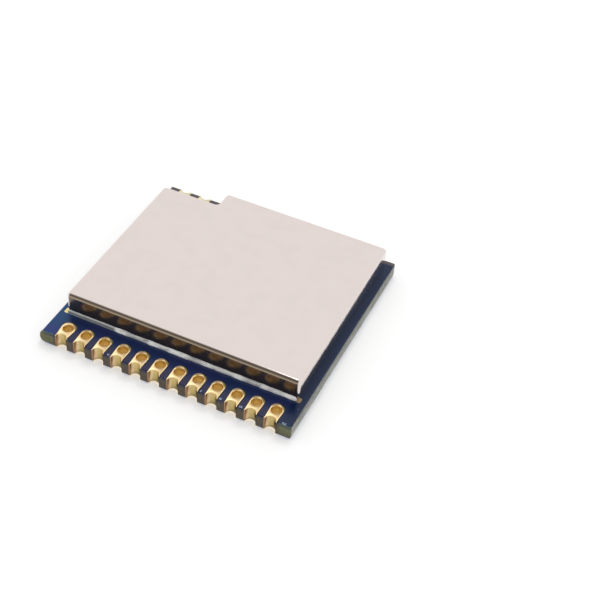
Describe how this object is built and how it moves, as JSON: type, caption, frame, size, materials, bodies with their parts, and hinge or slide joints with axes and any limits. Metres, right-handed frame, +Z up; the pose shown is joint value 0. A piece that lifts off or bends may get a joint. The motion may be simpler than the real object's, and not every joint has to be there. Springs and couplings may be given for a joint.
{
  "type": "lora module",
  "caption": "Square radio circuit module with castellated plated pads along one edge, antenna pads on the other and a soldered sheet-metal shield can with a notched corner.",
  "frame": {"origin": "centre of the board's underside, the face that lies on the host board", "axes": "+Z up out of the shield can, -Y towards the edge with the row of twelve pads, +X to the right along that row with pad_01 at the -X end"},
  "size_m": [0.0196, 0.019, 0.003],
  "materials": {
    "solder_mask": "glossy blue solder mask on glass-epoxy laminate",
    "tinned_sheet": "bright tinned sheet",
    "solder": "bright reflowed solder",
    "gold_plating": "immersion gold over copper",
    "moulded_epoxy": "matt black moulded epoxy",
    "crystal_case": "satin metal lid on a ceramic base",
    "capacitor_ceramic": "matt tan ceramic",
    "inductor_ceramic": "matt grey-blue ceramic",
    "resistor_ceramic": "black glazed film on ceramic"
  },
  "bodies": {
    "root": {"circuit_board": "solder_mask", "shield_can": "tinned_sheet", "front_solder": "solder", "back_solder": "solder", "ground_ring": "gold_plating", "pad_01": "gold_plating", "pad_02": "gold_plating", "pad_03": "gold_plating", "pad_04": "gold_plating", "pad_05": "gold_plating", "pad_06": "gold_plating", "pad_07": "gold_plating", "pad_08": "gold_plating", "pad_09": "gold_plating", "pad_10": "gold_plating", "pad_11": "gold_plating", "pad_12": "gold_plating", "antenna_pad": "gold_plating", "antenna_ground_pad": "gold_plating", "transceiver": "moulded_epoxy", "antenna_switch": "moulded_epoxy", "crystal": "crystal_case", "capacitor_01": "capacitor_ceramic", "capacitor_02": "capacitor_ceramic", "capacitor_03": "capacitor_ceramic", "capacitor_04": "capacitor_ceramic", "capacitor_05": "capacitor_ceramic", "capacitor_06": "capacitor_ceramic", "capacitor_07": "capacitor_ceramic", "capacitor_08": "capacitor_ceramic", "capacitor_09": "capacitor_ceramic", "capacitor_10": "capacitor_ceramic", "capacitor_11": "capacitor_ceramic", "capacitor_12": "capacitor_ceramic", "inductor_01": "inductor_ceramic", "inductor_02": "inductor_ceramic", "inductor_03": "inductor_ceramic", "inductor_04": "inductor_ceramic", "inductor_05": "inductor_ceramic", "resistor_01": "resistor_ceramic", "resistor_02": "resistor_ceramic", "resistor_03": "resistor_ceramic"}
  },
  "joints": []
}
